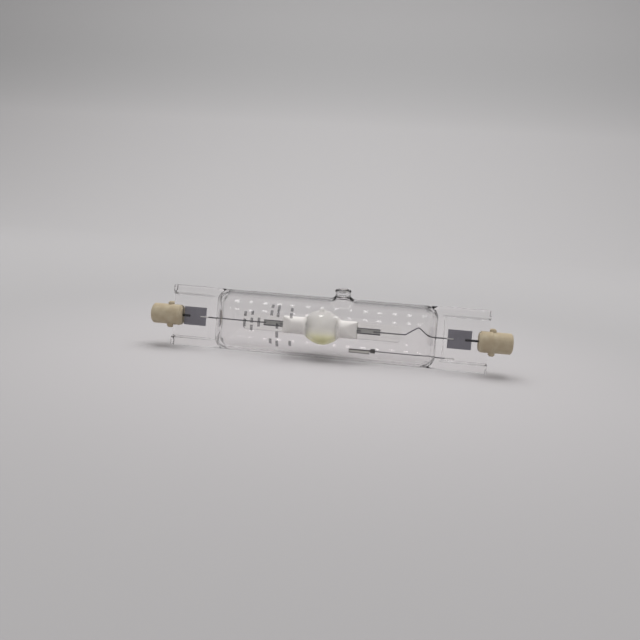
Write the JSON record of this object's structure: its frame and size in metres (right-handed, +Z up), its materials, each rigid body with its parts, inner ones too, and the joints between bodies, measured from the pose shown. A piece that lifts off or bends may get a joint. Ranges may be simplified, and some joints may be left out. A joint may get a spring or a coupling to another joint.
{
  "type": "double-ended metal halide lamp",
  "caption": "Double-ended quartz metal halide lamp: pinch-sealed tube with a small arc tube, getter, foils and leads inside, and a slotted ceramic cap with a recessed contact on each end.",
  "frame": {"origin": "point on the surface straight under the lamp's middle, as it stands on the lower edges of its two plates", "axes": "+X along the lamp's axis to the end with the kinked lead, +Z up, -Y towards the side from which the flat plates are seen almost face-on, leaning back by 9 degrees"},
  "size_m": [0.135, 0.023, 0.0272],
  "materials": {
    "quartz": "fire-polished clear fused quartz",
    "steatite": "matt pressed and fired steatite, beige",
    "cement": "dull, fine-grained",
    "contact_metal": "turned nickel-plated button",
    "foil": "rolled and etched molybdenum, satin grey",
    "lead": "drawn molybdenum rod, dark grey",
    "tungsten": "drawn tungsten, dark grey",
    "zirconia": "thin sprayed white layer, matt",
    "halide": "yellow-green film of melted salts, half clear",
    "mercury": "liquid metal",
    "getter_strip": "folded strip, heat-darkened",
    "getter_powder": "pressed grey metal powder"
  },
  "bodies": {
    "root": {"outer_envelope": "quartz", "arc_tube": "quartz", "left_cap": "steatite", "right_cap": "steatite", "left_cap_cement": "cement", "right_cap_cement": "cement", "left_contact": "contact_metal", "right_contact": "contact_metal", "left_outer_foil": "foil", "right_outer_foil": "foil", "left_arc_foil": "foil", "right_arc_foil": "foil", "left_outer_lead": "lead", "right_outer_lead": "lead", "left_inner_lead": "lead", "right_inner_lead": "lead", "left_electrode_rod": "tungsten", "right_electrode_rod": "tungsten", "left_electrode_coil": "tungsten", "right_electrode_coil": "tungsten", "left_heat_coating": "zirconia", "right_heat_coating": "zirconia", "halide_dose": "halide", "mercury_bead": "mercury", "getter_boat": "getter_strip", "getter_pellet": "getter_powder", "getter_wire": "lead"}
  },
  "joints": []
}
